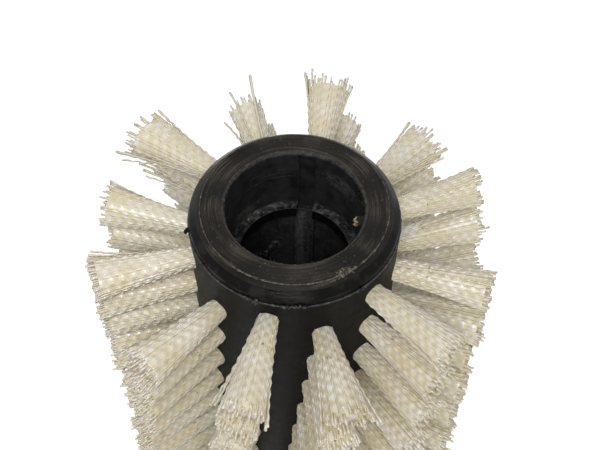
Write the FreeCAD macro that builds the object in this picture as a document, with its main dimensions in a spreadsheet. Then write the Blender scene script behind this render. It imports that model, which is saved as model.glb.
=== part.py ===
"""Cylindrical brush of a floor scrubber: a keyed plastic tube, welded end collars and twelve columns of tufts.

The axis is +Z and the origin is the centre of the lower end face. Millimetres and degrees.
"""

import FreeCAD
import Part
import Sketcher

import math
import os

Vector = FreeCAD.Vector
Rotation = FreeCAD.Rotation
Placement = FreeCAD.Placement
AXIS = Vector(0, 0, 1)
ACROSS = Vector(1, 0, 0)
HALF_TURN = 180
FULL_TURN = 360

# Driving dimensions: name, value, what it measures
DRIVING = [
    ("core_length", 127.8, "overall, from end face to end face"),
    ("core_diameter", 50.0, "outside of the tube"),
    ("socket_wall", 8.6, "outside of the tube to the drive socket, radial"),
    ("ring_seat_step", 0.3, "socket to the stop ring's seat, radial"),
    ("inner_bore_step", 0.3, "stop ring's seat to the inner bore, radial"),
    ("stop_ring_depth", 18.4, "end face to the ring that the drive hub seats on"),
    ("stop_ring_thickness", 3.4, "along the axis"),
    ("stop_ring_ledge", 2.8, "socket wall to the edge of the ring's hole, radial"),
    ("ring_clearance", 0.05, "radial, stop ring in its seat"),
    ("key_angle", 79.5, "middle of the key, round the axis from +X"),
    ("key_rib_width", 4.9, "moulded rib in the inner bore"),
    ("key_rib_height", 2.2, "how far the rib stands in from the inner bore"),
    ("keyway_width", 4.1, "slot in the socket wall and in the stop ring"),
    ("keyway_depth", 1.2, "how far the slot goes past the socket wall"),
    ("keyway_end_wall", 1.5, "what the collar leaves over the slot's blind end"),
    ("collar_height", 4.5, "end face to the weld"),
    ("collar_setback", 0.15, "outside of the tube to the collar's straight band, radial"),
    ("collar_cone_width", 2.85, "straight band to the flat end face, radial"),
    ("collar_cone_height", 2.7, "end face to the near edge of the straight band"),
    ("tuft_length", 24.8, "outside of the tube to the trimmed ends"),
    ("column_count", 12, "columns of tufts round the tube, an even number"),
    ("row_pitch", 11.8, "tuft to tuft along a column"),
    ("row_margin", 10.7, "least distance from an end face to the middle of a tuft"),
    ("row_twist", 2.51, "turn of a column from one tuft to the next one up"),
    ("first_column_angle", 19.1, "first column, carried on to the upper end face"),
    ("tuft_sides", 6, "faces of a hole and of a tuft, two corners in line with the tube"),
    ("tuft_hole_width", 5.0, "corner to corner"),
    ("tuft_hole_depth", 6.6, "from the outside of the tube"),
    ("tuft_tip_width", 10.8, "corner to corner at the trimmed end"),
    ("tuft_clearance", 0.05, "tuft in the mouth of its hole, all round"),
    ("anchor_length", 4.0, "flat wire, along the tube"),
    ("anchor_width", 1.5, "flat wire, across"),
    ("anchor_thickness", 0.6, "flat wire"),
]

# What follows from them
DERIVED = [
    ("core_radius", "core_diameter / 2"),
    ("socket_bore_radius", "core_radius - socket_wall"),
    ("ring_seat_radius", "socket_bore_radius - ring_seat_step"),
    ("inner_bore_radius", "ring_seat_radius - inner_bore_step"),
    ("ring_hole_radius", "socket_bore_radius - stop_ring_ledge"),
    ("ring_outer_radius", "ring_seat_radius - ring_clearance"),
    ("ring_seat_depth", "stop_ring_depth + stop_ring_thickness"),
    ("upper_ring_seat", "core_length - ring_seat_depth"),
    ("upper_ring_face", "core_length - stop_ring_depth"),
    ("upper_weld", "core_length - collar_height"),
    ("collar_band_radius", "core_radius - collar_setback"),
    ("collar_face_radius", "collar_band_radius - collar_cone_width"),
    ("keyway_half", "keyway_width / 2"),
    ("keyway_radius", "socket_bore_radius + keyway_depth"),
    ("tube_keyway_length", "ring_seat_depth - collar_height"),
    ("collar_keyway_length", "collar_height - keyway_end_wall"),
    ("key_rib_half", "key_rib_width / 2"),
    ("key_rib_radius", "inner_bore_radius - key_rib_height"),
    ("key_root_radius", "(inner_bore_radius + ring_seat_radius) / 2"),
    ("key_rib_length", "core_length - 2 * ring_seat_depth"),
    ("row_count", "floor((core_length - 2 * row_margin) / row_pitch) + 1"),
    ("brush_radius", "core_radius + tuft_length"),
    ("hole_floor_radius", "core_radius - tuft_hole_depth"),
    ("tuft_foot_radius", "hole_floor_radius + anchor_thickness"),
]

doc = FreeCAD.newDocument("roller_brush")
sizes = doc.addObject("Spreadsheet::Sheet", "Sizes")


def fill_sheet():
    """Puts every driving dimension in the sheet, and below them what follows from them."""
    for row, (name, value, meaning) in enumerate(DRIVING, start=1):
        sizes.set(f"A{row}", name)
        sizes.set(f"B{row}", str(value))
        sizes.set(f"C{row}", meaning)
        sizes.setAlias(f"B{row}", name)
    for row, (name, formula) in enumerate(DERIVED, start=len(DRIVING) + 1):
        sizes.set(f"A{row}", name)
        sizes.set(f"B{row}", "=" + formula)
        sizes.setAlias(f"B{row}", name)
    doc.recompute()


def size(name):
    """One value of the sheet, negative if its name has a minus sign. An empty name is zero."""
    if not name:
        return 0.0
    if name.startswith("-"):
        return -float(sizes.get(name[1:]))
    return float(sizes.get(name))


def bind(thing, prop, name):
    """Ties a property to a value of the sheet. An empty name leaves it at zero."""
    if name.startswith("-"):
        thing.setExpression(prop, f"-Sizes.{name[1:]}")
    elif name:
        thing.setExpression(prop, f"Sizes.{name}")


def new_body(label):
    body = doc.addObject("PartDesign::Body", label)
    body.Label = label
    return body


def sketch_on(body, name, role, lift="", turn=""):
    """A sketch on one of the body's own planes, lifted off it and turned in it by values of the sheet."""
    sketch = body.newObject("Sketcher::SketchObject", name)
    plane = next(f for f in body.Origin.OriginFeatures if f.Role == role)
    sketch.AttachmentSupport = [(plane, "")]
    sketch.MapMode = "FlatFace"
    bind(sketch, ".AttachmentOffset.Base.z", lift)
    bind(sketch, ".AttachmentOffset.Rotation.Angle", turn)
    return sketch


def draw_outline(sketch, corners):
    """A closed outline of straight lines. Each corner is held by its two distances from the sketch's origin."""
    places = [Vector(size(x), size(y), 0) for x, y in corners]
    count = len(corners)
    for i in range(count):
        line = Part.LineSegment(places[i], places[(i + 1) % count])
        sketch.addGeometry(line, False)
    for i in range(count):
        sketch.addConstraint(Sketcher.Constraint("Coincident", i, 2, (i + 1) % count, 1))
    for i, corner in enumerate(corners):
        for kind, name, value in zip(("DistanceX", "DistanceY"), corner, places[i]):
            held = sketch.addConstraint(Sketcher.Constraint(kind, -1, 1, i, 1, value))
            bind(sketch, f"Constraints[{held}]", name)


def draw_circle(sketch, radius):
    """A circle round the sketch's origin."""
    sketch.addGeometry(Part.Circle(Vector(0, 0, 0), AXIS, size(radius)), False)
    sketch.addConstraint(Sketcher.Constraint("Coincident", 0, 3, -1, 1))
    held = sketch.addConstraint(Sketcher.Constraint("Radius", 0, size(radius)))
    bind(sketch, f"Constraints[{held}]", radius)


def revolve(body, name, corners):
    """Turns an outline in the plane of X and Z once round the body's axis."""
    section = sketch_on(body, f"{name}_section", "XZ_Plane")
    draw_outline(section, corners)
    turned = body.newObject("PartDesign::Revolution", name)
    turned.Profile = section
    turned.ReferenceAxis = (section, ["V_Axis"])
    turned.Angle = FULL_TURN
    return turned


def pad(body, name, sketch, length):
    raised = body.newObject("PartDesign::Pad", name)
    raised.Profile = sketch
    bind(raised, "Length", length)
    return raised


def pocket(body, name, sketch, length, upward):
    cut = body.newObject("PartDesign::Pocket", name)
    cut.Profile = sketch
    cut.Reversed = upward
    bind(cut, "Length", length)
    return cut


def strip(inner, outer, half):
    """A straight-sided strip along the sketch's X, from one radius to another."""
    return [(inner, "-" + half), (outer, "-" + half), (outer, half), (inner, half)]


# The tube: straight outside, and a bore whose two ends are opened out in two steps, for a stop ring and a drive hub
TUBE_SECTION = [
    ("core_radius", "collar_height"),
    ("core_radius", "upper_weld"),
    ("socket_bore_radius", "upper_weld"),
    ("socket_bore_radius", "upper_ring_face"),
    ("ring_seat_radius", "upper_ring_face"),
    ("ring_seat_radius", "upper_ring_seat"),
    ("inner_bore_radius", "upper_ring_seat"),
    ("inner_bore_radius", "ring_seat_depth"),
    ("ring_seat_radius", "ring_seat_depth"),
    ("ring_seat_radius", "stop_ring_depth"),
    ("socket_bore_radius", "stop_ring_depth"),
    ("socket_bore_radius", "collar_height"),
]

# A collar lying on its end face: flat face, cone, straight band
COLLAR_SECTION = [
    ("socket_bore_radius", ""),
    ("collar_face_radius", ""),
    ("collar_band_radius", "collar_cone_height"),
    ("collar_band_radius", "collar_height"),
    ("socket_bore_radius", "collar_height"),
]


def tube_blank():
    """The tube with its rib and keyways, before the tuft holes are drilled."""
    body = new_body("tube_blank")
    revolve(body, "tube_wall", TUBE_SECTION)

    rib_end = sketch_on(body, "key_rib_section", "XY_Plane", "ring_seat_depth", "key_angle")
    draw_outline(rib_end, strip("key_rib_radius", "key_root_radius", "key_rib_half"))
    pad(body, "key_rib", rib_end, "key_rib_length")

    for end, lift, upward in (("tail", "collar_height", True), ("drive", "upper_weld", False)):
        slot_end = sketch_on(body, f"{end}_keyway_section", "XY_Plane", lift, "key_angle")
        draw_outline(slot_end, strip("ring_hole_radius", "keyway_radius", "keyway_half"))
        pocket(body, f"{end}_keyway", slot_end, "tube_keyway_length", upward)
    return body


def collar(label, slot_angle):
    """An end collar with the blind end of the keyway."""
    body = new_body(label)
    revolve(body, f"{label}_ring", COLLAR_SECTION)
    slot_end = sketch_on(body, f"{label}_keyway_section", "XY_Plane", "keyway_end_wall", slot_angle)
    draw_outline(slot_end, strip("ring_hole_radius", "keyway_radius", "keyway_half"))
    pocket(body, f"{label}_keyway", slot_end, "collar_keyway_length", True)
    return body


def stop_ring(label, lift):
    """A flat ring on the inner step of the bore, notched in line with the keyway."""
    body = new_body(label)
    disc = sketch_on(body, f"{label}_disc_section", "XY_Plane", lift)
    draw_circle(disc, "ring_outer_radius")
    pad(body, f"{label}_disc", disc, "stop_ring_thickness")
    hole = sketch_on(body, f"{label}_hole_section", "XY_Plane", lift)
    draw_circle(hole, "ring_hole_radius")
    pocket(body, f"{label}_hole", hole, "stop_ring_thickness", True)
    notch = sketch_on(body, f"{label}_notch_section", "XY_Plane", lift, "key_angle")
    draw_outline(notch, strip("", "keyway_radius", "keyway_half"))
    pocket(body, f"{label}_notch", notch, "stop_ring_thickness", True)
    return body


def stop_rings():
    """The two rings as one group."""
    group = doc.addObject("Part::Compound", "stop_rings")
    group.Links = [stop_ring("tail_stop_ring", "stop_ring_depth"), stop_ring("drive_stop_ring", "upper_ring_seat")]
    return group


def turned_over(body):
    """Puts a collar that was drawn on its face at the upper end of the tube."""
    body.Placement = Placement(Vector(0, 0, 0), Rotation(ACROSS, HALF_TURN))
    bind(body, ".Placement.Base.z", "core_length")
    return body


def tuft_places(column):
    """Where the tufts of a column leave the axis: X out along the tuft, Z along the tube."""
    count = int(size("row_count")) - column % 2
    step = size("row_pitch")
    top = size("core_length") / 2 + step * (count - 1) / 2
    start = size("first_column_angle") + column * FULL_TURN / size("column_count")
    places = []
    for row in range(count):
        height = top - row * step
        turn = start - size("row_twist") * (size("core_length") - height) / step
        places.append(Placement(Vector(0, 0, height), Rotation(AXIS, turn)))
    return places


def taper(near, far, near_corner, far_corner):
    """A straight taper along X between two radii, with flat sides and two corners in line with Z."""
    sides = int(size("tuft_sides"))

    def ring(reach, corner):
        turns = [2 * math.pi * i / sides for i in range(sides)]
        return [Vector(reach, corner * math.sin(t), corner * math.cos(t)) for t in turns]

    foot = ring(near, near_corner)
    tip = ring(far, far_corner)
    outlines = [foot, tip]
    for i in range(sides):
        j = (i + 1) % sides
        outlines.append([foot[i], foot[j], tip[j], tip[i]])
    faces = [Part.Face(Part.makePolygon(outline + outline[:1])) for outline in outlines]
    solid = Part.Solid(Part.Shell(faces))
    if solid.Volume < 0:
        solid.reverse()
    return solid


def hole_form():
    """One tuft hole, run out past the outside of the tube."""
    corner = size("tuft_hole_width") / 2
    return taper(size("hole_floor_radius"), size("core_radius") + corner, corner, corner)


def tuft_form():
    """One tuft. It stands on its anchor, fills the mouth of its hole and spreads evenly to the trimmed end."""
    mouth = size("tuft_hole_width") / 2 - size("tuft_clearance")
    tip = size("tuft_tip_width") / 2
    spread = (tip - mouth) / (size("brush_radius") - size("core_radius"))
    foot = mouth - spread * (size("core_radius") - size("tuft_foot_radius"))
    return taper(size("tuft_foot_radius"), size("brush_radius"), foot, tip)


def anchor_form():
    """One flat-wire anchor on the floor of a hole."""
    length = size("anchor_length")
    width = size("anchor_width")
    corner = Vector(size("hole_floor_radius"), -width / 2, -length / 2)
    return Part.makeBox(size("anchor_thickness"), width, length, corner)


def placed_copies(label, form, places):
    """One piece repeated at each place, as separate solids of one object."""
    copies = [form.transformed(place.toMatrix(), True) for place in places]
    group = doc.addObject("Part::Feature", label)
    group.Label = label
    group.Shape = Part.Compound(copies)
    return group


def drilled_tube(blank, columns):
    """The tube with every tuft hole cut."""
    holes = placed_copies("tuft_holes", hole_form(), [place for places in columns for place in places])
    tube = doc.addObject("Part::Cut", "core_tube")
    tube.Base = blank
    tube.Tool = holes
    return tube


def check(parts):
    """Stops if any object failed, or if a sub-part has no valid shape."""
    failed = [o.Label for o in doc.Objects if {"Invalid", "Error"} & set(o.State)]
    if failed:
        raise RuntimeError(f"objects that failed: {failed}")
    for part in parts:
        if part.Shape.isNull() or not part.Shape.isValid():
            raise RuntimeError(f"{part.Label} has no valid shape")


fill_sheet()
columns = [tuft_places(column) for column in range(int(size("column_count")))]
parts = [
    drilled_tube(tube_blank(), columns),
    turned_over(collar("drive_collar", "-key_angle")),
    collar("tail_collar", "key_angle"),
    stop_rings(),
]
for number, places in enumerate(columns, start=1):
    parts.append(placed_copies(f"tuft_column_{number:02d}", tuft_form(), places))
    parts.append(placed_copies(f"anchor_column_{number:02d}", anchor_form(), places))
doc.recompute()
check(parts)

os.makedirs("parts", exist_ok=True)
for part in parts:
    part.Shape.exportStep(f"parts/{part.Label}.step")
    print(part.Label, len(part.Shape.Solids), round(part.Shape.Volume, 1))
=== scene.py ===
"""Cylindrical scrubber brush, stood on its end: a keyed black tube with turned end collars and twelve columns of
crimped nylon tufts. Lengths are in millimetres until a mesh is made.
Angles are in degrees, round the axis from +X."""

import math

import bmesh
import bpy
import numpy as np
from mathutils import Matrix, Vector


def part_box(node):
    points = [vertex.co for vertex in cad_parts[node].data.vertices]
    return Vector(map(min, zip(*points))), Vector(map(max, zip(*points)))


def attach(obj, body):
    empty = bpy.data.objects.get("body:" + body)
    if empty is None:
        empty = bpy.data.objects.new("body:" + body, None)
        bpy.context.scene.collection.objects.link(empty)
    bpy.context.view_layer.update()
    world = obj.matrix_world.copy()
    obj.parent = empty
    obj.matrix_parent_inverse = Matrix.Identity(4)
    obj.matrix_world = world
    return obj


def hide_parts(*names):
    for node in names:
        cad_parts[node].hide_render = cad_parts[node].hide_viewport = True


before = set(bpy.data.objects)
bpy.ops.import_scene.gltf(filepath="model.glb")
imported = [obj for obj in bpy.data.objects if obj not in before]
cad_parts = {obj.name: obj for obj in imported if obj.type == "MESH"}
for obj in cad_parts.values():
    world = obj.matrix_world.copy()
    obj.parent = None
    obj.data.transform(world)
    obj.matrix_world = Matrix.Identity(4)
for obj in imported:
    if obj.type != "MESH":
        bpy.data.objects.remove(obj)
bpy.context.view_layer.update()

MM = 0.001
SEED = 1762

# The floor, and the bend at which an edge looks sharp
FLOOR_WIDTH = 3000
SHARP_ANGLE = 35

# The tube and its collars. Depths are from the end face down. KEY_ANGLE is the middle of the keyway.
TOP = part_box("drive_collar")[1].z / MM
CORE_RADIUS = 25.0
COLLAR_HEIGHT = 4.5
BAND_RADIUS = 24.85
CONE_HEIGHT = 2.7
FACE_RADIUS = 22.0
SOCKET_RADIUS = 16.4
SEAT_RADIUS = 16.1
BORE_RADIUS = 15.8
RING_DEPTH = 18.4
SEAT_DEPTH = 21.8
KEY_ANGLE = 79.5
KEYWAY_HALF = 2.05
KEYWAY_RADIUS = 17.6
KEYWAY_END = 1.5
LATHE_LINES = list(np.arange(5.8, 9.2, 0.2))
RIB_HALF = 2.45
RIB_RADIUS = 13.6

# The tufts. TWIST is how far a column turns from one row to the next.
COLUMNS = 12
PITCH = 11.8
TWIST = 2.51
FIRST_COLUMN = 19.1
LONG_COLUMN = 10
HOLE_RADIUS = 2.5
HOLE_FLOOR = 19.0
HOLE_SIDES = 24
BRUSH_RADIUS = 49.8
TUFT_START = CORE_RADIUS - 1.2
STRAY_START = CORE_RADIUS + 4
SPREAD_START = CORE_RADIUS + 8
ROOT_SPREAD = 2.15
TIP_SPREAD = 5.1

# The filaments. Real ones are 0.4 to 0.5 mm thick, which is too fine for single ends to show, so the ends are
# drawn thicker: END_FILAMENT over the middle and in strays, and END_SWELL of the width more at the very tip, from
# END_LENGTH before it on. CRIMP is the length of a whole bend, out and in. LOCKS is the number of locks round a
# tuft, each of which bends as one.
FILAMENT = 0.5
END_FILAMENT = 0.62
FILAMENT_SIDES = 3
CRIMP = 2.6
CRIMP_SWING = 0.16
LOCKS = 14
MIDDLE = 0.995
MIDDLE_SIDES = 28
MIDDLE_RINGS = 21
GATHER_START = 34.0
GATHER_TURN = 0.045
END_LENGTH = 5.0
END_SWELL = 0.4

# Typical refractive indices
NYLON_IOR = 1.58
POLYPROPYLENE_IOR = 1.49
ACETAL_IOR = 1.48


def linear(code):
    """A hex sRGB colour as linear light."""
    parts = [int(code[i:i + 2], 16) / 255 for i in (1, 3, 5)]
    light = [c / 12.92 if c <= 0.04045 else ((c + 0.055) / 1.055) ** 2.4 for c in parts]
    return (*light, 1.0)


def grey(level):
    """A plain number, as a colour socket takes it."""
    return (level, level, level, 1.0)


def feed(tree, node, inputs):
    """Gives a node's inputs their values. A value that is another node's output is linked."""
    for name, value in inputs.items():
        if isinstance(value, bpy.types.NodeSocket):
            tree.links.new(value, node.inputs[name])
        else:
            node.inputs[name].default_value = value


def add(tree, kind, inputs=None, **settings):
    """A node with its settings and inputs."""
    made = tree.nodes.new(kind)
    for name, value in settings.items():
        setattr(made, name, value)
    feed(tree, made, inputs or {})
    return made


def new_material(name):
    """An empty material with its shader and the object's own coordinates in metres."""
    material = bpy.data.materials.new(name)
    material.use_nodes = True
    tree = material.node_tree
    tree.nodes.clear()
    shader = add(tree, "ShaderNodeBsdfPrincipled")
    add(tree, "ShaderNodeOutputMaterial", {"Surface": shader.outputs["BSDF"]})
    place = add(tree, "ShaderNodeTexCoord").outputs["Object"]
    return material, tree, shader, place


def ramp(tree, value, stops):
    """Hex colours, or plain numbers, along a value from 0 to 1."""
    made = add(tree, "ShaderNodeValToRGB", {"Fac": value})
    while len(made.color_ramp.elements) < len(stops):
        made.color_ramp.elements.new(1.0)
    for element, (at, shown) in zip(made.color_ramp.elements, stops.items()):
        element.position = at
        element.color = linear(shown) if isinstance(shown, str) else grey(shown)
    return made.outputs["Color"]


def crimped_nylon():
    """Nylon filament, drawn and crimped: warm cream with a soft gloss. Each bend of the crimp that stands out of the
    tuft is painted paler, a painted highlight that gives the tufts their rows of staggered light dots."""
    material, tree, shader, place = new_material("nylon_filament_crimped")
    strand, order, along = (add(tree, "ShaderNodeAttribute", attribute_name=name).outputs["Fac"]
                            for name in ("strand", "order", "along"))
    waves = []
    for count, turn in ((along, 2 * math.pi), (order, math.pi)):
        angle = add(tree, "ShaderNodeMath", {0: count, 1: turn}, operation="MULTIPLY").outputs[0]
        waves.append(add(tree, "ShaderNodeMath", {0: angle}, operation="COSINE").outputs[0])
    dots = add(tree, "ShaderNodeMath", {0: waves[0], 1: waves[1]}, operation="MULTIPLY").outputs[0]
    cloud = add(tree, "ShaderNodeTexNoise", {"Vector": place, "Scale": 1 / (7 * MM), "Detail": 3.0}).outputs["Fac"]
    tone = add(tree, "ShaderNodeMath", {0: strand, 1: 0.25, 2: cloud}, operation="MULTIPLY_ADD").outputs[0]
    # Painted highlight: the base colour is paler at the crest of each crimp bend
    tone_with_painted_dots = add(tree, "ShaderNodeMath", {0: dots, 1: 0.20, 2: tone}, operation="MULTIPLY_ADD").outputs[0]
    bump = add(tree, "ShaderNodeBump", {"Height": dots, "Strength": 0.55, "Distance": 0.16 * MM}).outputs[0]
    feed(tree, shader, {
        "Base Color": ramp(tree, tone_with_painted_dots, {0.35: "#E8DCB9", 0.62: "#EEE5CA", 0.90: "#FCF9EF"}),
        "Roughness": ramp(tree, dots, {0.0: 0.48, 0.7: 0.24}), "Normal": bump,
        "IOR": NYLON_IOR, "Specular IOR Level": 1.0, "Sheen Weight": 0.5, "Sheen Roughness": 0.4,
        "Coat Weight": 1.0, "Coat Roughness": 0.26})
    return material


def extruded_tube():
    """Polypropylene tube, extruded: dark grey, satin, with faint drawing lines along it and a little dust."""
    material, tree, shader, place = new_material("polypropylene_tube_satin")
    drawn = add(tree, "ShaderNodeMapping", {"Vector": place, "Scale": (1.0, 1.0, 0.06)}).outputs[0]
    lines = add(tree, "ShaderNodeTexNoise", {"Vector": drawn, "Scale": 1 / (0.8 * MM), "Detail": 4.0}).outputs["Fac"]
    dust = add(tree, "ShaderNodeTexNoise", {
        "Vector": place, "Scale": 1 / (2.5 * MM), "Detail": 6.0, "Roughness": 0.7}).outputs["Fac"]
    both = add(tree, "ShaderNodeMath", {0: lines, 1: dust}, operation="MULTIPLY").outputs[0]
    bump = add(tree, "ShaderNodeBump", {"Height": lines, "Strength": 0.25, "Distance": 0.05 * MM}).outputs[0]
    feed(tree, shader, {
        "Base Color": ramp(tree, both, {0.1: "#060605", 0.3: "#0B0B09", 0.5: "#191815"}),
        "Roughness": ramp(tree, dust, {0.3: 0.42, 0.7: 0.58}), "Normal": bump,
        "IOR": POLYPROPYLENE_IOR, "Specular IOR Level": 0.08})
    return material


def turned_face():
    """The collar's face, cut on a lathe: brownish black, fine rings 0.4 mm apart, dust caught in them."""
    material, tree, shader, place = new_material("polypropylene_turned_face")
    apart = add(tree, "ShaderNodeSeparateXYZ", {"Vector": place}).outputs
    flat = add(tree, "ShaderNodeCombineXYZ", {"X": apart["X"], "Y": apart["Y"]}).outputs[0]
    radius = add(tree, "ShaderNodeVectorMath", {0: flat}, operation="LENGTH").outputs["Value"]
    wobble = add(tree, "ShaderNodeTexNoise", {"Vector": place, "Scale": 1 / (6 * MM), "Detail": 2.0}).outputs["Fac"]
    shifted = add(tree, "ShaderNodeMath", {0: wobble, 1: 0.5 * MM, 2: radius}, operation="MULTIPLY_ADD").outputs[0]
    angle = add(tree, "ShaderNodeMath", {0: shifted, 1: 2 * math.pi / (0.4 * MM)}, operation="MULTIPLY").outputs[0]
    rings = add(tree, "ShaderNodeMath", {0: angle}, operation="SINE").outputs[0]
    drift = add(tree, "ShaderNodeVectorMath", {0: place, 1: (0.04, 0.04, 0.04)}, operation="MULTIPLY").outputs[0]
    outward = add(tree, "ShaderNodeCombineXYZ", {"X": radius}).outputs[0]
    nearly_round = add(tree, "ShaderNodeVectorMath", {0: outward, 1: drift}, operation="ADD").outputs[0]
    coarse = add(tree, "ShaderNodeTexNoise", {
        "Vector": nearly_round, "Scale": 1 / (0.45 * MM), "Detail": 4.0, "Roughness": 0.7}).outputs["Fac"]
    dust = add(tree, "ShaderNodeTexNoise", {
        "Vector": place, "Scale": 1 / (0.7 * MM), "Detail": 8.0, "Roughness": 0.8}).outputs["Fac"]
    patch = add(tree, "ShaderNodeTexNoise", {"Vector": place, "Scale": 1 / (9 * MM), "Detail": 3.0}).outputs["Fac"]
    mixed = add(tree, "ShaderNodeMath", {0: coarse, 1: patch}, operation="MULTIPLY").outputs[0]
    base = ramp(tree, mixed, {0.15: "#0B0907", 0.26: "#1D1A16", 0.37: "#48423B"})
    speck = ramp(tree, dust, {0.60: 0.0, 0.68: 1.0})
    colour = add(tree, "ShaderNodeMix", {"Factor": speck, "A": base, "B": linear("#8A8478")}, data_type="RGBA")
    height = add(tree, "ShaderNodeMath", {0: rings, 1: 0.3, 2: coarse}, operation="MULTIPLY_ADD").outputs[0]
    bump = add(tree, "ShaderNodeBump", {"Height": height, "Strength": 1.0, "Distance": 0.08 * MM}).outputs[0]
    feed(tree, shader, {
        "Base Color": colour.outputs["Result"],
        "Roughness": ramp(tree, dust, {0.3: 0.38, 0.7: 0.62}), "Normal": bump,
        "IOR": POLYPROPYLENE_IOR, "Specular IOR Level": 0.18, "Anisotropic": 0.8, "Anisotropic Rotation": 0.25,
        "Tangent": add(tree, "ShaderNodeTangent", direction_type="RADIAL", axis="Z").outputs[0]})
    return material


def rubbed_band():
    """The collar's cone and band, cut and then rubbed bright by handling: glossy black, scratched round it."""
    material, tree, shader, place = new_material("polypropylene_rubbed_band")
    drawn = add(tree, "ShaderNodeMapping", {"Vector": place, "Scale": (0.12, 0.12, 1.0)}).outputs[0]
    lines = add(tree, "ShaderNodeTexNoise", {"Vector": drawn, "Scale": 1 / (0.35 * MM), "Detail": 4.0}).outputs["Fac"]
    smear = add(tree, "ShaderNodeTexNoise", {"Vector": place, "Scale": 1 / (4 * MM), "Detail": 5.0}).outputs["Fac"]
    base = ramp(tree, smear, {0.3: "#060606", 0.56: "#0C0B0A", 0.68: "#24221F"})
    scratch = ramp(tree, lines, {0.62: 0.0, 0.74: 0.4})
    colour = add(tree, "ShaderNodeMix", {"Factor": scratch, "A": base, "B": linear("#403E3A")}, data_type="RGBA")
    bump = add(tree, "ShaderNodeBump", {"Height": lines, "Strength": 0.8, "Distance": 0.12 * MM}).outputs[0]
    feed(tree, shader, {
        "Base Color": colour.outputs["Result"],
        "Roughness": ramp(tree, smear, {0.35: 0.16, 0.7: 0.42}), "Normal": bump,
        "IOR": POLYPROPYLENE_IOR, "Specular IOR Level": 0.10})
    return material


def bore_worn_and_painted_lit():
    """The bore, moulded and then scraped by the hub: black, glossy where it is rubbed, grey where it is scraped. The
    rib is painted light grey as lit, less grey on one half as painted shade, and the keyway floor is kept black as
    painted shade.
    """
    material, tree, shader, place = new_material("polypropylene_bore_worn_and_painted_lit")
    wear_and_painted_light = add(tree, "ShaderNodeAttribute", attribute_name="wear_and_painted_light").outputs["Fac"]
    fleck = add(tree, "ShaderNodeTexNoise", {
        "Vector": place, "Scale": 1 / (1.1 * MM), "Detail": 6.0, "Roughness": 0.7}).outputs["Fac"]
    cloud = add(tree, "ShaderNodeTexNoise", {"Vector": place, "Scale": 1 / (3.5 * MM), "Detail": 4.0}).outputs["Fac"]
    wear_and_light_flecks = add(tree, "ShaderNodeMath", {0: wear_and_painted_light, 1: fleck}, operation="MULTIPLY").outputs[0]
    # Painted light and shade ride in this mask: more grey flecks on the lit rib, fewer on its shaded half and none on
    # the keyway floor
    scraped = ramp(tree, wear_and_light_flecks, {0.28: 0.0, 0.46: 1.0})
    base = ramp(tree, cloud, {0.35: "#202021", 0.65: "#323234"})
    colour = add(tree, "ShaderNodeMix", {"Factor": scraped, "A": base, "B": linear("#525253")}, data_type="RGBA")
    bump = add(tree, "ShaderNodeBump", {"Height": fleck, "Strength": 0.35, "Distance": 0.1 * MM}).outputs[0]
    feed(tree, shader, {
        "Base Color": colour.outputs["Result"],
        "Roughness": ramp(tree, cloud, {0.35: 0.26, 0.65: 0.45}), "Normal": bump,
        "IOR": POLYPROPYLENE_IOR, "Specular IOR Level": 0.14})
    return material


def torn_plastic(name, dark, middle, pale):
    """Plastic that was torn, scraped up or squeezed out: stretched paler than the rest, rough and uneven."""
    material, tree, shader, place = new_material(name)
    cloud = add(tree, "ShaderNodeTexNoise", {
        "Vector": place, "Scale": 1 / (0.8 * MM), "Detail": 6.0, "Roughness": 0.7}).outputs["Fac"]
    bump = add(tree, "ShaderNodeBump", {"Height": cloud, "Strength": 0.6, "Distance": 0.15 * MM}).outputs[0]
    feed(tree, shader, {
        "Base Color": ramp(tree, cloud, {0.35: dark, 0.55: middle, 0.75: pale}),
        "Roughness": 0.45, "Normal": bump, "IOR": POLYPROPYLENE_IOR, "Specular IOR Level": 0.25})
    return material


def ring_worn_and_painted_lit():
    """The acetal stop ring, moulded, then worn by the hub that seats on it: its flat faces painted lighter grey as
    where light falls, with worn patches in that grey, and the wall of its hole painted near black as shade."""
    material, tree, shader, place = new_material("acetal_stop_ring")
    cloud = add(tree, "ShaderNodeTexNoise", {
        "Vector": place, "Scale": 1 / (1.6 * MM), "Detail": 5.0, "Roughness": 0.65}).outputs["Fac"]
    worn = ramp(tree, cloud, {0.38: "#19191A", 0.5: "#39393A", 0.66: "#68686A"})
    # Painted light and shade: the colour follows which way a face points, lighter for the flat faces, near black for
    # the upright wall of the hole
    normal = add(tree, "ShaderNodeNewGeometry").outputs["Normal"]
    painted_light_by_facing = add(tree, "ShaderNodeSeparateXYZ", {"Vector": normal}).outputs["Z"]
    level = add(tree, "ShaderNodeMath", {0: painted_light_by_facing}, operation="ABSOLUTE").outputs[0]
    colour = add(tree, "ShaderNodeMix", {"Factor": level, "A": linear("#0C0C0D"), "B": worn}, data_type="RGBA")
    bump = add(tree, "ShaderNodeBump", {"Height": cloud, "Strength": 0.5, "Distance": 0.15 * MM}).outputs[0]
    feed(tree, shader, {
        "Base Color": colour.outputs["Result"],
        "Roughness": ramp(tree, cloud, {0.35: 0.35, 0.65: 0.5}), "Normal": bump,
        "IOR": ACETAL_IOR, "Specular IOR Level": 0.14})
    return material


def flat_wire():
    """Galvanised flat wire, rolled: dull steel with fine lines along the roll, 0.2 mm apart."""
    material, tree, shader, place = new_material("galvanised_flat_wire")
    drawn = add(tree, "ShaderNodeMapping", {"Vector": place, "Scale": (1.0, 1.0, 0.1)}).outputs[0]
    lines = add(tree, "ShaderNodeTexNoise", {"Vector": drawn, "Scale": 1 / (0.2 * MM), "Detail": 3.0}).outputs["Fac"]
    feed(tree, shader, {
        "Base Color": ramp(tree, lines, {0.3: "#8B8D8E", 0.7: "#B4B6B6"}),
        "Roughness": ramp(tree, lines, {0.3: 0.3, 0.7: 0.45}), "Metallic": 1.0})
    return material


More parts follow.
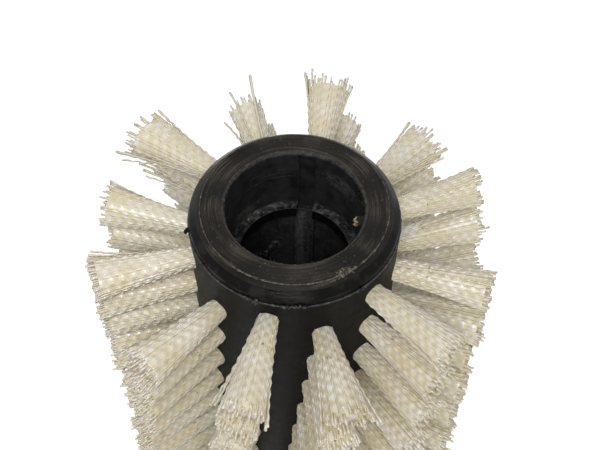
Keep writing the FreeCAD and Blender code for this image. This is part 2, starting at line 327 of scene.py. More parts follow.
def piece(name, points, faces, materials, numbers=None, corners=None):
    """A mesh piece of the brush from points in millimetres, with named values at its points and face corners."""
    mesh = bpy.data.meshes.new(name)
    points = np.asarray(points, float) * MM
    mesh.from_pydata(points.tolist(), [], faces)
    for domain, group in (("POINT", numbers), ("CORNER", corners)):
        for label, values in (group or {}).items():
            layer = mesh.attributes.new(label, "FLOAT", domain)
            layer.data.foreach_set("value", np.asarray(values, np.float32))
    for material in materials:
        mesh.materials.append(material)
    mesh.shade_smooth()
    mesh.validate()
    made = bpy.data.objects.new(name, mesh)
    bpy.context.scene.collection.objects.link(made)
    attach(made, "root")
    return made


def sharp_edges(made):
    """Keeps edges that bend more than SHARP_ANGLE sharp in the shading."""
    mesh = made.data
    work = bmesh.new()
    work.from_mesh(mesh)
    bmesh.ops.recalc_face_normals(work, faces=work.faces)
    for edge in work.edges:
        if len(edge.link_faces) == 2 and edge.calc_face_angle() > math.radians(SHARP_ANGLE):
            edge.smooth = False
    work.to_mesh(mesh)
    work.free()


def ring_noise(seed, waves, count):
    """A smooth random wave round a ring, about -1 to 1, as a function of the angle in degrees."""
    rng = np.random.default_rng(seed)
    order = rng.integers(waves[0], waves[1], count)
    size = rng.uniform(0.3, 1.0, count)
    phase = rng.uniform(0, 2 * math.pi, count)

    def value(angle):
        turn = np.radians(np.asarray(angle, float))[..., None]
        return (size * np.sin(order * turn + phase)).sum(-1) / size.sum() * 1.6

    return value


def beside(half, radius):
    """How far round, in degrees, a straight side stands at a radius."""
    return math.degrees(math.asin(half / radius))


def round_columns(step, cuts):
    """Angles round the axis: even steps, and a close pair at each cut from the key's middle."""
    angles = [KEY_ANGLE + step * i for i in range(1, int(360 / step))]
    for cut in cuts:
        for sign in (-1, 1):
            angles += [KEY_ANGLE + sign * (cut - 0.03), KEY_ANGLE + sign * (cut + 0.03)]
    return np.array(sorted({round(a % 360, 4) for a in angles}))


def closed_ring(profile, angles, move):
    """A ring swept from a closed profile of (radius, height). move shifts the points of each corner of it."""
    points = []
    for i, (radius, height) in enumerate(profile):
        r, a, z = move(i, np.full(len(angles), radius), np.array(angles), np.full(len(angles), height))
        turn = np.radians(a)
        points.append(np.stack([r * np.cos(turn), r * np.sin(turn), z], 1))
    count, rows = len(angles), len(profile)
    faces = []
    for i in range(rows):
        j = (i + 1) % rows
        for k in range(count):
            n = (k + 1) % count
            faces.append((i * count + k, i * count + n, j * count + n, j * count + k))
    return np.concatenate(points), faces


def off_key(angle):
    """How far an angle is from the key's middle, from -180 to 180."""
    return (np.asarray(angle) - KEY_ANGLE + 180) % 360 - 180


def in_keyway(angle):
    """Where an angle is between the sides of the keyway."""
    return np.abs(off_key(angle)) < beside(KEYWAY_HALF, SOCKET_RADIUS)


def add_collar(name, node, flip):
    """An end collar: turned face with a ragged outer edge, cone, rubbed band and bevelled rim."""
    band_noise = ring_noise(SEED + flip, (3, 60), 30)
    edge_noise = ring_noise(SEED + 10 + flip, (20, 140), 50)
    rim_noise = ring_noise(SEED + 20 + flip, (10, 90), 30)
    face_steps = np.linspace(SOCKET_RADIUS + 0.65, FACE_RADIUS - 0.25, 9)
    # The socket up past the blind end of the keyway, the rim's bevel, the face, the cone, and the grooved band
    profile = [(SOCKET_RADIUS, -COLLAR_HEIGHT), (SOCKET_RADIUS, -3.0), (SOCKET_RADIUS, -KEYWAY_END - 0.02),
               (SOCKET_RADIUS, -KEYWAY_END + 0.02), (SOCKET_RADIUS, -1.0), (SOCKET_RADIUS, -0.6),
               (SOCKET_RADIUS + 0.25, -0.22)]
    rim = len(profile) - 1
    profile += [(radius, 0.0) for radius in face_steps]
    edge = len(profile)
    profile += [(FACE_RADIUS, 0.0), (FACE_RADIUS + 0.2, -0.12), (FACE_RADIUS + 1.2, -1.1), (FACE_RADIUS + 2.3, -2.2)]
    band = len(profile)
    profile += [(BAND_RADIUS - 0.1, -CONE_HEIGHT + 0.1), (BAND_RADIUS, -CONE_HEIGHT - 0.1), (BAND_RADIUS, -3.4),
                (BAND_RADIUS - 0.07, -3.55), (BAND_RADIUS, -3.7), (BAND_RADIUS - 0.06, -3.85), (BAND_RADIUS, -4.0),
                (BAND_RADIUS, -COLLAR_HEIGHT)]
    angles = round_columns(1.5, [beside(KEYWAY_HALF, SOCKET_RADIUS)])

    def move(i, r, a, z):
        if i <= 2:
            r = np.where(in_keyway(a), KEYWAY_RADIUS, r)
        if rim - 1 <= i <= rim + 1:
            r = r + 0.12 * rim_noise(a)
        if edge - 1 <= i <= edge + 1:
            r = r + 0.10 * edge_noise(a)
            z = z + 0.07 * np.maximum(edge_noise(a + 2), 0) * (i == edge)
        if i >= band:
            r = r + 0.04 * band_noise(a)
        return r, a, z

    points, faces = closed_ring(profile, angles, move)
    if flip:
        points[:, 2] = -points[:, 2]
        faces = [face[::-1] for face in faces]
    else:
        points[:, 2] += TOP
    count = len(angles)
    wear_and_painted_light = np.full(len(profile), 0.45)
    wear_and_painted_light[4:rim + 2] = (0.7, 0.75, 0.82, 0.7)
    made = piece(name, points, faces, [FACE, BAND, BORE], numbers={"wear_and_painted_light": np.repeat(wear_and_painted_light, count)})
    for polygon in made.data.polygons:
        row = polygon.index // count
        polygon.material_index = 2 if row < rim + 1 else 0 if row < edge + 2 else 1
    sharp_edges(made)
    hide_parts(node)


def bore_rows():
    """Depths of the tube's inner wall from its upper end down: fine rows where the lathe left lines."""
    rows = [COLLAR_HEIGHT, 5.2, *LATHE_LINES, 10.0, 11.5, 13.0, 14.5, 16.0, 17.3]
    rows += [step + side for step in (RING_DEPTH, SEAT_DEPTH) for side in (-0.02, 0.02)]
    return rows + [23, 26, 30, 34, 38, 42, 48, 56]


def add_tube():
    """The tube: drilled outside, and inside the sockets, ring seats, keyways and the moulded rib."""
    upper = bore_rows()
    middle = TOP / 2
    depths = upper + [middle] + [TOP - d for d in upper[::-1]]
    outside = [COLLAR_HEIGHT, COLLAR_HEIGHT + 0.15, *np.linspace(TOP - 6, 6, 12)[::-1]]
    outside += [TOP - COLLAR_HEIGHT - 0.15, TOP - COLLAR_HEIGHT]
    profile = [(CORE_RADIUS - 0.12 * (i in (0, len(outside) - 1)), z) for i, z in enumerate(outside)]
    outer = len(profile)
    profile += [(SOCKET_RADIUS, TOP - d) for d in depths]
    keyway = beside(KEYWAY_HALF, SOCKET_RADIUS)
    rib = beside(RIB_HALF, BORE_RADIUS)
    angles = round_columns(2.0, [keyway, rib])
    lines = ring_noise(SEED + 30, (1, 7), 8)
    rng = np.random.default_rng(SEED + 31)
    cut = {depths.index(line): rng.uniform(-0.10, 0.05) for line in LATHE_LINES}

    def move(i, r, a, z):
        if i < outer:
            return r, a, z
        depth = min(depths[i - outer], TOP - depths[i - outer])
        if depth < RING_DEPTH:
            r = r + cut.get(i - outer, 0.0) * (0.5 + 0.5 * lines(a))
        elif depth < SEAT_DEPTH:
            r = np.full(len(a), SEAT_RADIUS)
        else:
            off = off_key(a)
            inside = np.abs(off) < rib
            r = np.where(inside, RIB_RADIUS, BORE_RADIUS)
            r = np.where(inside & (np.abs(off) > rib - 1.2), RIB_RADIUS + 0.3, r)
            edge = inside & (np.abs(off) > rib - 0.5)
            a = np.where(edge, KEY_ANGLE + np.sign(off) * beside(RIB_HALF, RIB_RADIUS), a)
        if depth < SEAT_DEPTH:
            r = np.where(in_keyway(a), KEYWAY_RADIUS, r)
        return r, a, z

    points, faces = closed_ring(profile, angles, move)
    height = TOP - points[:, 2]
    turn = np.degrees(np.arctan2(points[:, 1], points[:, 0])) % 360
    off = off_key(turn)
    reach = np.hypot(points[:, 0], points[:, 1])

    def near(value, middle, width):
        return np.exp(-((value - middle) / width) ** 2)

    # Patches rubbed by the hub, lathe lines, more grey below the ring seat, the rib painted light grey as lit with
    # painted shade on one half, the keyway floor painted black as shade, and a light line along one side of the
    # keyway
    wear_and_painted_light = 0.42 + 0.30 * near(turn, 42, 26) * (height < 9.5)
    wear_and_painted_light += 0.40 * near(turn, 142, 22) * near(height, 16.5, 2.5)
    wear_and_painted_light += 0.30 * near(turn, 188, 20) * (height < 14)
    uneven = near(turn, 125, 45) * (0.7 + 0.3 * lines(3 * turn))
    for depth, strength in ((6.2, 0.5), (7.4, 0.45), (8.0, 0.3), (8.8, 0.65)):
        wear_and_painted_light += strength * (np.abs(height - depth) < 0.06) * uneven
    wear_and_painted_light += 0.15 * (height > SEAT_DEPTH)
    # Painted light: the rib is lit grey, and its half at the smaller angle is painted darker as its shaded side
    wear_and_painted_light = np.where((np.abs(off) < rib + 0.1) & (height > SEAT_DEPTH), 0.85 - 0.2 * (off < 0), wear_and_painted_light)
    # Painted shade: the keyway floor is kept black, as in a deep recess
    wear_and_painted_light = np.where((np.abs(off) < keyway - 0.01) & (height < SEAT_DEPTH), 0.3, wear_and_painted_light)
    wear_and_painted_light = np.where((np.abs(off - keyway) < 0.05) & (height < SEAT_DEPTH), 0.65, wear_and_painted_light)
    wear_and_painted_light = np.where(reach > CORE_RADIUS - 1, 0.0, wear_and_painted_light)
    made = piece("tube", points, faces, [TUBE, BORE], numbers={"wear_and_painted_light": wear_and_painted_light})
    count = len(angles)
    for polygon in made.data.polygons:
        polygon.material_index = 0 if polygon.index // count < outer - 1 else 1
    sharp_edges(made)
    drill(made)
    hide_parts("core_tube")


def tuft_places(column):
    """(angle, height, row) of each tuft of a column, from the top down."""
    count = LONG_COLUMN - column % 2
    top = TOP / 2 + PITCH * (count - 1) / 2
    start = FIRST_COLUMN + column * 360 / COLUMNS
    return [(start - TWIST * (TOP - top + row * PITCH) / PITCH, top - row * PITCH, row) for row in range(count)]


def drill(tube):
    """Cuts the round tuft holes out of the tube."""
    sides = HOLE_SIDES
    points = []
    faces = []
    for column in range(COLUMNS):
        for angle, height, _ in tuft_places(column):
            turn = math.radians(angle)
            out = np.array([math.cos(turn), math.sin(turn), 0])
            side = np.array([-math.sin(turn), math.cos(turn), 0])
            up = np.array([0, 0, 1.0])
            first = len(points)
            for reach in (HOLE_FLOOR, CORE_RADIUS + 2):
                for i in range(sides):
                    t = 2 * math.pi * i / sides
                    points.append(out * reach + HOLE_RADIUS * (side * math.cos(t) + up * math.sin(t)) + up * height)
            for i in range(sides):
                j = (i + 1) % sides
                faces.append((first + i, first + j, first + sides + j, first + sides + i))
            faces.append(tuple(first + i for i in range(sides))[::-1])
            faces.append(tuple(first + sides + i for i in range(sides)))
    mesh = bpy.data.meshes.new("drills")
    mesh.from_pydata((np.array(points) * MM).tolist(), [], faces)
    mesh.materials.append(TUBE)
    tool = bpy.data.objects.new("drills", mesh)
    bpy.context.scene.collection.objects.link(tool)
    cut = tube.modifiers.new("holes", "BOOLEAN")
    cut.operation = "DIFFERENCE"
    cut.solver = "EXACT"
    cut.object = tool
    bpy.context.view_layer.update()
    drilled = bpy.data.meshes.new_from_object(tube.evaluated_get(bpy.context.evaluated_depsgraph_get()))
    tube.modifiers.remove(cut)
    tube.data = drilled
    bpy.data.objects.remove(tool)


def tubes(paths, radii, sides):
    """Closed round tubes along many paths of the same length: paths is strands x points x 3."""
    strands, length, _ = paths.shape
    along = np.gradient(paths, axis=1)
    along /= np.linalg.norm(along, axis=2, keepdims=True)
    across = np.cross(along, np.array([0.31, 0.17, 0.93]))
    across /= np.linalg.norm(across, axis=2, keepdims=True)
    other = np.cross(along, across)
    turns = 2 * math.pi * np.arange(sides) / sides
    ring = across[:, :, None] * np.cos(turns)[:, None] + other[:, :, None] * np.sin(turns)[:, None]
    points = (paths[:, :, None] + ring * radii[..., None, None]).reshape(-1, 3)
    index = np.arange(strands * length * sides).reshape(strands, length, sides)
    here = index[:, :-1]
    there = index[:, 1:]
    walls = np.stack([here, np.roll(here, -1, 2), np.roll(there, -1, 2), there], -1).reshape(-1, 4)
    caps = np.concatenate([index[:, 0, ::-1], index[:, -1]])
    return points, walls.tolist() + caps.tolist()


# How single tufts differ from the rest, by column and row: lean sideways and up in mm at the tip, width sideways and
# up as a share of the usual, length in mm and how ragged the end is. Sideways is anticlockwise seen from above.
USUAL_TUFT = (0.0, 0.0, 1.0, 1.0, 0.0, 1.0)
TUFT_CHANGES = {
    (0, 0): (1.0, -0.2, 1.05, 1.1, -1.2, 1.2),
    (0, 1): (0.6, 0.6, 1.05, 1.15, -0.6, 1.2),
    (1, 0): (-0.4, 0.3, 1.1, 1.0, 0.6, 1.8),
    (2, 0): (2.6, 1.5, 1.12, 1.0, 0.8, 2.8),
    (3, 0): (0.6, 0.5, 0.90, 1.0, -0.4, 1.9),
    (4, 0): (3.8, 0.0, 1.26, 1.1, 2.0, 2.3),
    (4, 1): (1.5, 0.0, 1.15, 1.0, 0.0, 1.8),
    (7, 0): (-0.5, 0.0, 1.15, 1.1, 0.6, 1.3),
    (8, 0): (0.8, 0.0, 1.05, 1.0, 0.8, 1.4),
    (9, 0): (-0.8, 0.0, 1.18, 1.0, 0.4, 1.6),
    (11, 0): (0.0, 0.0, 1.0, 1.0, -0.8, 1.0),
}

# Filaments that stand off their tuft, by column and row: sideways and up in mm at the tip, length in mm
STRAYS = {
    (1, 0): [(6.9, 1.5, 0.6), (6.5, 1.9, 0.2), (-6.4, 1.0, 1.2), (-5.9, 1.8, 1.0), (-6.6, -1.5, -1.5)],
    (2, 0): [(-4.0, 3.0, 0.5), (6.8, 2.0, 0.5), (6.3, 1.0, 0.0), (-6.2, 1.0, 0.5)],
    (3, 0): [(-2.4, 11.0, 2.6), (-2.1, 10.6, 2.2), (3.4, 6.0, 0.8), (7.6, -3.0, -2.5), (7.3, -3.3, -3.0)],
    (4, 0): [(-7.0, 2.0, 1.8), (-6.7, 2.4, 1.4), (7.6, -1.0, 0.6), (7.2, -1.8, 0.4), (7.9, -3.0, -2.0)],
    (4, 1): [(7.4, 2.5, 2.2), (7.2, 2.2, 1.9), (6.9, -1.0, 0.8), (6.6, -1.3, 0.5), (7.6, -3.0, -1.4)],
    (5, 0): [(-6.2, 2.0, 0.8), (-5.9, 1.5, 0.4)],
    (6, 0): [(-7.4, 1.0, -1.2), (-7.9, 2.2, -1.8), (-7.0, 0.4, -0.8)],
    (8, 0): [(-7.2, 0.5, -2.0), (-6.6, -0.8, -2.6), (-6.0, 1.4, -3.8), (-5.6, -2.0, -1.0), (5.9, -1.0, -0.6),
             (5.3, -2.6, 0.6)],
    (9, 0): [(6.9, 0.0, 0.8), (6.5, -0.8, 0.2), (-6.4, 0.6, -0.6)],
    (10, 0): [(-6.0, 0.5, 0.4)],
}


class Tuft:
    """Where a tuft's filaments run: out of its hole, spreading evenly to the trimmed end."""

    def __init__(self, rng, column, angle, height, row):
        change = TUFT_CHANGES.get((column, row), USUAL_TUFT)
        turn = math.radians(angle)
        self.out = np.array([math.cos(turn), math.sin(turn), 0])
        self.side = np.array([-math.sin(turn), math.cos(turn), 0])
        self.up = np.array([0, 0, 1.0])
        self.height = height
        self.lean = rng.normal(0, 0.3, 2) + change[:2]
        self.flare = TIP_SPREAD * np.array(change[2:4]) * rng.uniform(0.94, 1.04, 2)
        self.tip = BRUSH_RADIUS + change[4] + rng.normal(0, 0.25)
        self.ragged = change[5]
        self.phase = rng.uniform(0, CRIMP)
        self.slant = rng.uniform(0, 2 * math.pi, 3)

    def line(self, uv, reach):
        """Points at several reaches, for filaments at places uv of the unit disc, one place or one at each reach."""
        share = np.clip((reach - CORE_RADIUS + 1) / (BRUSH_RADIUS - CORE_RADIUS + 1), 0, None)
        spread = ROOT_SPREAD + (self.flare - ROOT_SPREAD) * (share ** 1.08)[..., None]
        # The folded wire packs the root nearly square
        double = 2 * np.arctan2(uv[..., 1], uv[..., 0])
        square = 1 + 0.13 * np.sin(double) ** 2 * np.clip(1 - 2 * share, 0, 1)
        # A stray leaves its tuft little by little
        over = np.maximum(np.hypot(uv[..., 0], uv[..., 1]) - 1, 0)
        apart = (1 + over * share ** 2) / (1 + over)
        flat = uv * spread * (square * apart)[..., None] + self.lean * (share ** 1.2)[..., None]
        return self.out * reach[..., None] + self.side * flat[..., :1] + self.up * (flat[..., 1:] + self.height)

    def ends(self, rng, uv):
        """Where each filament stops: cut nearly square, in uneven locks."""
        around = np.arctan2(uv[:, 1], uv[:, 0])
        lock = sum(np.sin((3 * k + 3) * around + self.slant[k]) for k in range(3)) / 3
        return self.tip - self.ragged * (0.6 + 1.1 * lock + np.abs(rng.normal(0, 0.6, len(uv))))

    def turns(self, reach):
        """How many crimps a filament has made at each reach."""
        return (reach - CORE_RADIUS - self.phase) / CRIMP

    def locks(self, uv):
        """Which lock round the tuft a filament is in, as a running number."""
        return ((np.arctan2(uv[:, 1], uv[:, 0]) + self.slant[0]) / (2 * math.pi) % 1) * LOCKS

    def swings(self, uv, reach):
        """How far each filament stands off its line at each reach. Neighbours bend together, and the next lock bends
        against them."""
        free = np.clip((self.tip + 1.5 - reach) / 8, 0.35, 1)
        bend = np.cos(2 * math.pi * self.turns(reach))
        return CRIMP_SWING * free * bend * np.cos(math.pi * self.locks(uv))[:, None]

    def bends(self, start, stop, steps):
        """Reaches for each filament: its root, each bend of its crimp and its end."""
        from_root = start - CORE_RADIUS - self.phase
        first = CORE_RADIUS + self.phase + CRIMP / 2 * np.ceil(from_root / (CRIMP / 2) + 0.01)
        ticks = np.arange(steps)
        reach = np.tile(first + (ticks - 1) * CRIMP / 2, (len(stop), 1))
        reach[:, 0] = start
        return np.minimum(reach, stop[:, None] + 0.02 * (ticks - steps))

    def crimped(self, rng, uv, reach):
        """Filaments bent at each half crimp, in and out of the tuft, and gathered to their lock towards the end."""
        twist = np.arctan2(uv[:, 1], uv[:, 0]) + rng.normal(0, 0.3, len(uv))
        swing = self.side * np.cos(twist)[:, None] + self.up * np.sin(twist)[:, None]
        size = self.swings(uv, reach) * rng.uniform(0.9, 1.3, len(uv))[:, None]
        late = np.clip((reach - GATHER_START) / (self.tip - GATHER_START), 0, 1) ** 2
        turn = GATHER_TURN * self.ragged * np.sin(2 * math.pi * self.locks(uv))[:, None] * late
        u, v = uv[:, :1], uv[:, 1:]
        gathered = np.stack([u * np.cos(turn) - v * np.sin(turn), u * np.sin(turn) + v * np.cos(turn)], -1)
        return self.line(gathered, reach) + swing[:, None] * size[..., None]


def disc(rng, count, inner, outer):
    """Evenly scattered places on the unit disc, between two radii."""
    around = 2 * math.pi * (np.arange(count) + rng.uniform(-0.4, 0.4, count)) / count
    far = np.sqrt(rng.uniform(inner ** 2, outer ** 2, count))
    return np.stack([far * np.cos(around), far * np.sin(around)], 1)


def packed_middle(tuft):
    """The closely packed inside of a tuft as one closed form, bent by the crimp as the filaments round it are."""
    sides, rings = MIDDLE_SIDES, MIDDLE_RINGS
    around = 2 * math.pi * (np.arange(sides) + 0.5) / sides - tuft.slant[0]
    uv = MIDDLE * np.stack([np.cos(around), np.sin(around)], 1)
    reach = tuft.bends(TUFT_START, np.full(sides, tuft.tip - 1.0 - 1.4 * tuft.ragged), rings)
    swing = tuft.side * np.cos(around)[:, None] + tuft.up * np.sin(around)[:, None]
    points = tuft.line(uv[:, None], reach) + swing[:, None] * tuft.swings(uv, reach)[..., None]
    points = points.transpose(1, 0, 2).reshape(-1, 3)
    index = np.arange(rings * sides).reshape(rings, sides)
    after = np.roll(index, -1, 1)
    walls = np.stack([index[:-1], after[:-1], after[1:], index[1:]], -1).reshape(-1, 4)
    turns = tuft.turns(reach[0])
    near, left = np.meshgrid(turns[:-1], LOCKS * (np.arange(sides) + 0.5) / sides, indexing="ij")
    far = np.repeat(turns[1:, None], sides, 1)
    right = left + LOCKS / sides
    order = np.stack([left, right, right, left], -1).ravel()
    along = np.stack([near, near, far, far], -1).ravel()
    faces = walls.tolist() + [index[0, ::-1].tolist(), index[-1].tolist()]
    return points, faces, np.append(order, np.zeros(2 * sides)), np.append(along, np.full(2 * sides, 0.25))


def bristles(column):
    """A column of tufts: filaments one by one round a packed middle, and loose filament ends at the trimmed end."""
    rng = np.random.default_rng(SEED + 100 + column)
    everything = {"points": [], "faces": [], "strand": [], "order": [], "along": []}
    total = 0

    def keep(points, faces, tones, order, along):
        nonlocal total
        everything["points"].append(points)
        everything["faces"].extend([[i + total for i in face] for face in faces])
        everything["strand"].append(tones)
        everything["order"].append(order)
        everything["along"].append(along)
        total += len(points)

    def grow(tuft, uv, start, stop, steps, width=FILAMENT):
        sides = FILAMENT_SIDES
        reach = tuft.bends(start, stop, steps)
        paths = tuft.crimped(rng, uv, reach)
        swell = 1 + END_SWELL * np.clip((reach - tuft.tip + END_LENGTH) / END_LENGTH, 0, 1)
        radii = width / 2 * rng.uniform(0.9, 1.1, len(uv))[:, None] * swell
        points, faces = tubes(paths, radii, sides)
        turns = tuft.turns(reach)
        along = np.stack([turns[:, :-1], turns[:, :-1], turns[:, 1:], turns[:, 1:]], -1)
        along = np.repeat(along[:, :, None], sides, 2).ravel()
        along = np.concatenate([along, np.repeat(turns[:, 0], sides), np.repeat(turns[:, -1], sides)])
        locks = tuft.locks(uv)
        order = np.concatenate([np.repeat(locks, times * sides) for times in ((steps - 1) * 4, 1, 1)])
        keep(points, faces, np.repeat(rng.uniform(0, 1, len(uv)), steps * sides), order, along)

    for angle, height, row in tuft_places(column):
        tuft = Tuft(rng, column, angle, height, row)
        full = int((tuft.tip - TUFT_START) / (CRIMP / 2)) + 1
        # The outside, more of it as it spreads, and the cut ends over the middle: how many filaments, how far from
        # the middle, where they start, how many points each has and how thick it is
        for count, inner, outer, start, steps, width in (
            (28, 0.965, 1.0, TUFT_START, full, FILAMENT),
            (24, 0.955, 0.995, SPREAD_START, full - 6, FILAMENT),
            (26, 0.0, 0.9, tuft.tip - 5.5, 5, END_FILAMENT),
        ):
            uv = disc(rng, count, inner, outer)
            grow(tuft, uv, start, tuft.ends(rng, uv), steps, width)
        loose = STRAYS.get((column, row), [])
        if loose:
            loose = np.array(loose)
            grow(tuft, loose[:, :2] / tuft.flare, STRAY_START, tuft.tip + loose[:, 2], full - 3, END_FILAMENT)
        points, faces, order, along = packed_middle(tuft)
        keep(points, faces, np.full(len(points), 0.5), order, along)

    joined = {name: np.concatenate(everything[name]) for name in ("points", "strand", "order", "along")}
    made = piece(f"bristles_{column + 1:02d}", joined["points"], everything["faces"], [NYLON],
                 numbers={"strand": joined["strand"]}, corners={"order": joined["order"], "along": joined["along"]})
    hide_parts(f"tuft_column_{column + 1:02d}")


def lip(name, radius, height, across, tall, share, seed, material, front=0.0):
    """An uneven raised lip round the axis, such as weld flash or a cutting burr. share is how much of it is uneven,
    and front how much larger it is towards the front."""
    rough = ring_noise(seed, (5, 70), 40)
    fine = ring_noise(seed + 1, (60, 175), 60)
    angles = np.arange(0, 360, 1.0)
    turn = np.radians(angles)
    size = (1 - share) + share * np.clip(0.4 + 0.9 * rough(angles) + 0.9 * fine(angles), 0, 2)
    size = size * (1 - front * (0.5 + 0.5 * np.sin(turn)))
    corners = 6
    points = []
    for i in range(corners):
        t = 2 * math.pi * (i + 0.5) / corners
        r = radius + across * size * math.cos(t)
        z = height + tall * size * math.sin(t) + 0.25 * tall * rough(angles + 40)
        points.append(np.stack([r * np.cos(turn), r * np.sin(turn), z], 1))
    count = len(angles)
    faces = [(i * count + k, i * count + (k + 1) % count, (i + 1) % corners * count + (k + 1) % count,
              (i + 1) % corners * count + k) for i in range(corners) for k in range(count)]
    piece(name, np.concatenate(points), faces, [material])


def crumbs(name, spots, seed, material):
    """Torn crumbs of plastic. Each spot gives the angle, radius and height of its middle, how far it spreads round
    and up, how many crumbs it has and how large they are."""
    rng = np.random.default_rng(seed)
    points, faces = [], []
    for angle, radius, height, spread_round, spread_up, count, size in spots:
        for _ in range(count):
            turn = math.radians(angle + rng.normal(0, 0.5) * spread_round / radius * 180 / math.pi)
            level = height + rng.normal(0, 0.5) * spread_up
            middle = np.array([radius * math.cos(turn), radius * math.sin(turn), level])
            first = len(points)
            scale = size * rng.uniform(0.4, 1.2) * rng.uniform(0.4, 1.0, 3)
            ring = rng.uniform(0, 2 * math.pi) + np.array([0, 1.7, 3.4, 5.0]) + rng.uniform(-0.3, 0.3, 4)
            tilt = rng.normal(0, 0.6, (3, 3)) + np.eye(3)
            corners = [(math.cos(t), math.sin(t), 0.0) for t in ring] + [(0.1, 0.0, 0.5), (0.0, 0.1, -0.5)]
            points += [middle + tilt @ (np.array(c) * scale) for c in corners]
            for i in range(4):
                j = (i + 1) % 4
                faces += [(first + i, first + j, first + 4), (first + j, first + i, first + 5)]
    piece(name, points, faces, [material])


def shaving(name, angle, height, material):
    """A shaving of the band that still hangs on: it curls out and down, and thins to a round end."""
    share = np.linspace(0, 1, 8)
    turn = math.radians(angle)
    reach = BAND_RADIUS - 0.3 + 1.3 * np.sin(1.9 * share)
    path = np.stack([reach * math.cos(turn), reach * math.sin(turn), height - 1.7 * share ** 1.5], 1)
    thick = 0.56 * np.sqrt(1 - 0.85 * share ** 3)
    points, faces = tubes(path[None], thick[None], 6)
    piece(name, points, faces, [material])


def looking(tree):
    """1 for what the camera sees, straight or in a reflection or through something clear."""
    path = add(tree, "ShaderNodeLightPath").outputs
    seen = path["Is Camera Ray"]
    for ray in ("Is Glossy Ray", "Is Transmission Ray"):
        seen = add(tree, "ShaderNodeMath", {0: seen, 1: path[ray]}, operation="MAXIMUM").outputs[0]
    return seen


def studio():
    """A pale floor, white surroundings, and two soft lamps: the main one high in front, a weak one high behind."""
    world = bpy.data.worlds.new("studio")
    bpy.context.scene.world = world
    world.use_nodes = True
    tree = world.node_tree
    tree.nodes.clear()
    seen = add(tree, "ShaderNodeBackground", {"Color": grey(1.0), "Strength": 1.0})
    lit = add(tree, "ShaderNodeBackground", {"Color": linear("#FFF8EE"), "Strength": 0.34})
    mixed = add(tree, "ShaderNodeMixShader", {0: looking(tree), 1: lit.outputs[0], 2: seen.outputs[0]})
    add(tree, "ShaderNodeOutputWorld", {"Surface": mixed.outputs[0]})

    material = bpy.data.materials.new("pale_card")
    material.use_nodes = True
    tree = material.node_tree
    tree.nodes.clear()
    card = add(tree, "ShaderNodeBsdfDiffuse", {"Color": linear("#F2F2F0")})
    glow = add(tree, "ShaderNodeEmission", {"Color": grey(1.0), "Strength": 0.75})
    both = add(tree, "ShaderNodeAddShader", {0: card.outputs[0], 1: glow.outputs[0]})
    mixed = add(tree, "ShaderNodeMixShader", {0: looking(tree), 1: card.outputs[0], 2: both.outputs[0]})
    add(tree, "ShaderNodeOutputMaterial", {"Surface": mixed.outputs[0]})
    half = FLOOR_WIDTH / 2 * MM
    mesh = bpy.data.meshes.new("floor")
    mesh.from_pydata([(-half, -half, 0), (half, -half, 0), (half, half, 0), (-half, half, 0)], [], [(0, 1, 2, 3)])
    mesh.materials.append(material)
    floor = bpy.data.objects.new("floor", mesh)
    bpy.context.scene.collection.objects.link(floor)

    # Place, aim and width in metres, power in watts
    for name, place, aim, size, power in (
        ("key_lamp", (-0.05, -0.48, 0.74), (0, 0, 0.11), 0.30, 3.0),
        ("fill_lamp", (0.05, 0.45, 0.80), (0, 0, 0.09), 0.40, 0.2),
    ):
        data = bpy.data.lights.new(name, "AREA")
        data.size = size
        data.energy = power
        lamp = bpy.data.objects.new(name, data)
        lamp.location = place
        direction = Vector([to - at for to, at in zip(aim, place)])
        lamp.rotation_euler = direction.to_track_quat("-Z", "Y").to_euler()
        bpy.context.scene.collection.objects.link(lamp)


def camera():
    """The photograph's camera, from its place and angles as fitted to the rims and the rows of tufts."""
    data = bpy.data.cameras.new("camera")
    data.lens = 62.585
    data.sensor_width = 36.0
    data.clip_start = 0.01
    made = bpy.data.objects.new("camera", data)
    made.location = (0.0, -149.81 * MM, (TOP + 190.51) * MM)
    made.rotation_euler = [math.radians(a) for a in (37.1146, -0.5447, 0.2178)]
    bpy.context.scene.collection.objects.link(made)
    bpy.context.scene.camera = made


NYLON = crimped_nylon()
TUBE = extruded_tube()
FACE = turned_face()
BAND = rubbed_band()
BORE = bore_worn_and_painted_lit()
TORN = torn_plastic("polypropylene_torn_edge", "#33302C", "#625E56", "#A8A397")
FLAP = torn_plastic("polypropylene_scraped_flap", "#3A3732", "#767168", "#B8B3A7")
FLASH = torn_plastic("polypropylene_weld_flash", "#29292B", "#4C4C50", "#8A8A90")
WORN_RIM = torn_plastic("polypropylene_worn_rim", "#1C1A18", "#3D3A36", "#7A766E")
CHIP = torn_plastic("pale_plastic_chip", "#C9A98E", "#E6D3BE", "#F2E8DC")
RING = ring_worn_and_painted_lit()
WIRE = flat_wire()

# The tube, its collars, their burrs, crumbs and curl, and the tufts
add_tube()
add_collar("collar_top", "drive_collar", 0)
add_collar("collar_bottom", "tail_collar", 1)
for end, face, weld in (("top", TOP, TOP - COLLAR_HEIGHT), ("bottom", 0.0, COLLAR_HEIGHT)):
    inward = math.copysign(1.0, weld - face)
    ledge = face + (RING_DEPTH + 0.02) * inward
    seed = SEED + 40 + int(face)
    lip(f"weld_{end}", CORE_RADIUS + 0.02, weld, 0.34, 0.28, 0.55, seed, FLASH)
    lip(f"face_burr_{end}", FACE_RADIUS + 0.05, face + 0.04 * inward, 0.42, 0.20, 0.9, seed + 2, TORN, 0.8)
    lip(f"rim_burr_{end}", SOCKET_RADIUS + 0.30, face + 0.16 * inward, 0.26, 0.20, 0.9, seed + 4, WORN_RIM)
    lip(f"ring_burr_{end}", RIB_RADIUS + 0.03, ledge, 0.14, 0.10, 0.8, seed + 6, WORN_RIM)
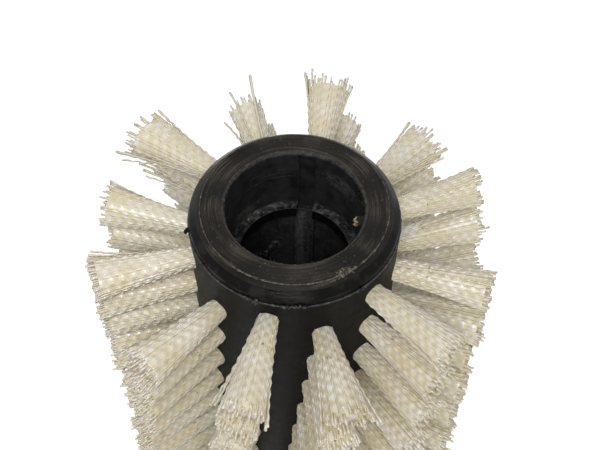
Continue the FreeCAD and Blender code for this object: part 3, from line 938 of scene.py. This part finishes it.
crumbs("torn_edge_top", [
    (299.5, 22.0, TOP - 0.05, 2.6, 0.15, 30, 0.75), (302.0, 21.3, TOP - 0.05, 1.8, 0.1, 18, 0.65),
    (300.5, 20.8, TOP - 0.03, 1.6, 0.05, 8, 0.4)], SEED + 67, FLAP)
crumbs("torn_edge_front", [
    (294.0, 22.5, TOP - 0.2, 1.6, 0.3, 14, 0.5), (255.0, 22.1, TOP, 12.0, 0.12, 40, 0.32),
    (205.0, 22.1, TOP, 10.0, 0.12, 14, 0.15), (330.0, 22.1, TOP, 8.0, 0.12, 12, 0.16)], SEED + 60, TORN)
crumbs("weld_nubs", [
    (-112.6, 25.3, TOP - 4.2, 2.2, 0.4, 18, 0.6), (-89.4, 25.3, TOP - 4.2, 2.6, 0.4, 24, 0.65),
    (-52.9, 25.3, TOP - 4.4, 1.4, 0.3, 10, 0.5), (-150.0, 25.3, TOP - 4.4, 3.0, 0.2, 10, 0.35),
    (-20.0, 25.3, TOP - 4.4, 4.0, 0.2, 8, 0.22), (60.0, 25.3, TOP - 4.4, 9.0, 0.2, 10, 0.2)], SEED + 61, FLASH)
crumbs("rim_crumbs", [
    (150.0, 16.45, TOP - 0.1, 8.0, 0.2, 16, 0.16), (100.0, 16.45, TOP - 0.1, 9.0, 0.2, 18, 0.15),
    (45.0, 16.45, TOP - 0.1, 8.0, 0.2, 16, 0.16), (270.0, 16.45, TOP - 0.1, 9.0, 0.2, 10, 0.12),
    (185.0, 16.3, TOP - 2.5, 5.0, 2.5, 12, 0.16), (20.0, 16.3, TOP - 3.0, 5.0, 3.0, 12, 0.18)], SEED + 62, TORN)
crumbs("ledge_crumbs", [
    (142.0, 15.2, TOP - RING_DEPTH + 0.1, 7.0, 0.3, 26, 0.42),
    (120.0, 14.6, TOP - RING_DEPTH + 0.05, 6.0, 0.2, 16, 0.26),
    (165.0, 15.6, TOP - RING_DEPTH + 0.3, 4.0, 0.6, 12, 0.4),
    (60.0, 14.6, TOP - RING_DEPTH + 0.05, 8.0, 0.2, 14, 0.24),
    (30.0, 14.8, TOP - RING_DEPTH + 0.05, 6.0, 0.2, 10, 0.26)], SEED + 63, TORN)
crumbs("broken_hole_edge", [
    (116.6, 15.5, TOP - 36.5, 2.4, 2.6, 20, 1.1), (112.0, 15.5, TOP - 34.8, 1.6, 0.8, 10, 1.0)], SEED + 64, FLASH)
shaving("black_curl", 190.5, TOP - 3.3, BAND)
crumbs("pale_chip", [(20.4, 16.1, TOP - 13.6, 0.5, 1.2, 9, 0.72)], SEED + 66, CHIP)
for column in range(COLUMNS):
    bristles(column)

# The solids that are shown as they are
for name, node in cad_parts.items():
    finish = WIRE if name.startswith("anchor") else RING if name == "stop_rings" else None
    if finish:
        node.data.materials.clear()
        node.data.materials.append(finish)

studio()
camera()
bpy.context.scene.view_settings.view_transform = "Standard"
